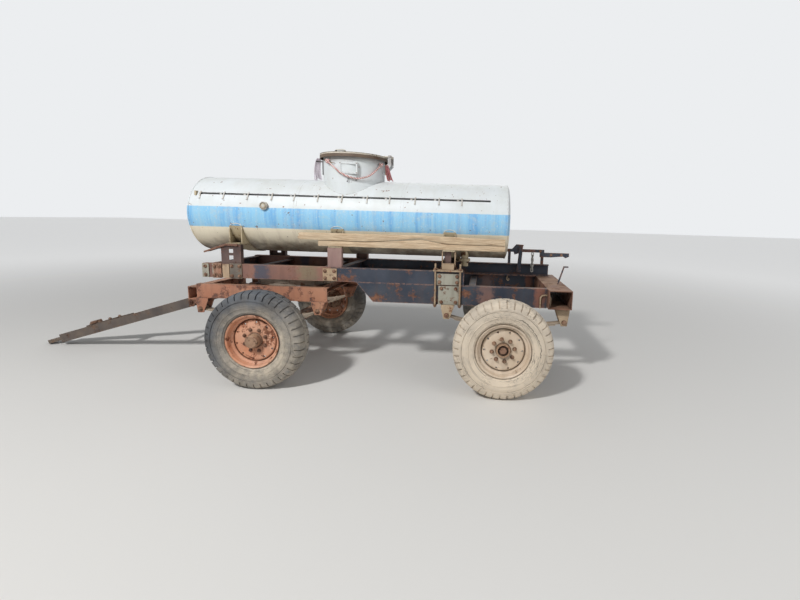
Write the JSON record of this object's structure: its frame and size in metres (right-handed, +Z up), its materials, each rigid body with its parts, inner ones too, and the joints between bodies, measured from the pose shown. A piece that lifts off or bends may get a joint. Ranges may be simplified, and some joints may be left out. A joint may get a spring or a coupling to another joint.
{
  "type": "tank trailer",
  "caption": "Two-axle drawbar tank trailer with a cylindrical tank on saddles, a lidded hatch and a turntable-steered front dolly on leaf springs.",
  "frame": {"origin": "on the ground under the middle of the whole length, midway between the wheels", "axes": "+X points to the rear, the drawbar to -X; +Z is up; -Y is the trailer's left side"},
  "size_m": [5.9822, 1.935, 2.2222],
  "materials": {
    "bare_steel": "dull, greasy",
    "cloth": "faded",
    "cream_paint": "worn",
    "frame_paint": "flaking slate blue paint over rust",
    "pale_tyre": "chalky with dust",
    "plank_wood": "weathered",
    "rim_rust": "dusty rust",
    "rust": "matt rust",
    "tank_paint": "worn paint with a faded stripe",
    "tyre": "dusty"
  },
  "bodies": {
    "chassis": {"tank_shell": "tank_paint", "tank_skin": "tank_paint", "skin_clips": "rust", "hatch_neck": "tank_paint", "hatch_ties": "rust", "hatch_rope": "cloth", "tank_fittings": "rust", "tank_saddles": "cream_paint", "saddle_posts": "rust", "side_planks": "plank_wood", "front_bent_plate": "cream_paint", "upper_rails": "frame_paint", "main_rails": "frame_paint", "cross_members": "frame_paint", "rail_plates": "frame_paint", "saddle_clamps": "cream_paint", "rear_beam": "rust", "side_hoop": "cream_paint", "tail_carrier": "frame_paint", "rear_axle": "rust", "rear_springs": "bare_steel", "rear_spring_clamps": "bare_steel", "rear_hangers": "rust", "turntable_upper_ring": "bare_steel"},
    "dolly": {"turntable_lower_ring": "bare_steel", "dolly_beams": "rust", "dolly_hangers": "rust", "front_springs": "bare_steel", "front_spring_clamps": "bare_steel", "front_axle": "rust", "drawbar_brackets": "rust"},
    "drawbar": {"drawbar_legs": "frame_paint"},
    "wheel_front_left": {"tyre_front_left": "tyre", "rim_front_left": "rim_rust", "hub_front_left": "rust"},
    "wheel_front_right": {"tyre_front_right": "tyre", "rim_front_right": "rim_rust", "hub_front_right": "rust"},
    "wheel_rear_left": {"tyre_rear_left": "pale_tyre", "rim_rear_left": "rim_rust", "hub_rear_left": "rust"},
    "wheel_rear_right": {"tyre_rear_right": "tyre", "rim_rear_right": "rim_rust", "hub_rear_right": "rust"},
    "hatch": {"hatch_lid": "tank_paint"}
  },
  "joints": [
    {"name": "turntable", "type": "hinge", "parent": "chassis", "child": "dolly", "pos_m": [-0.01982, 0, 0.885], "axis": [0, 0, 1], "range_deg": [-40, 40]},
    {"name": "drawbar_lift", "type": "hinge", "parent": "dolly", "child": "drawbar", "pos_m": [-0.99482, 0, 0.64], "axis": [0, 1, 0], "range_deg": [0, 75]},
    {"name": "wheel_front_left_spin", "type": "hinge", "parent": "dolly", "child": "wheel_front_left", "pos_m": [-0.01982, -0.85, 0.445], "axis": [0, 1, 0], "continuous": true},
    {"name": "wheel_front_right_spin", "type": "hinge", "parent": "dolly", "child": "wheel_front_right", "pos_m": [-0.01982, 0.85, 0.445], "axis": [0, 1, 0], "continuous": true},
    {"name": "wheel_rear_left_spin", "type": "hinge", "parent": "chassis", "child": "wheel_rear_left", "pos_m": [2.18018, -0.85, 0.445], "axis": [0, 1, 0], "continuous": true},
    {"name": "wheel_rear_right_spin", "type": "hinge", "parent": "chassis", "child": "wheel_rear_right", "pos_m": [2.18018, 0.85, 0.445], "axis": [0, 1, 0], "continuous": true},
    {"name": "hatch_hinge", "type": "hinge", "parent": "chassis", "child": "hatch", "pos_m": [0.97518, 0, 2.186], "axis": [0, 1, 0], "range_deg": [0, 105]}
  ]
}
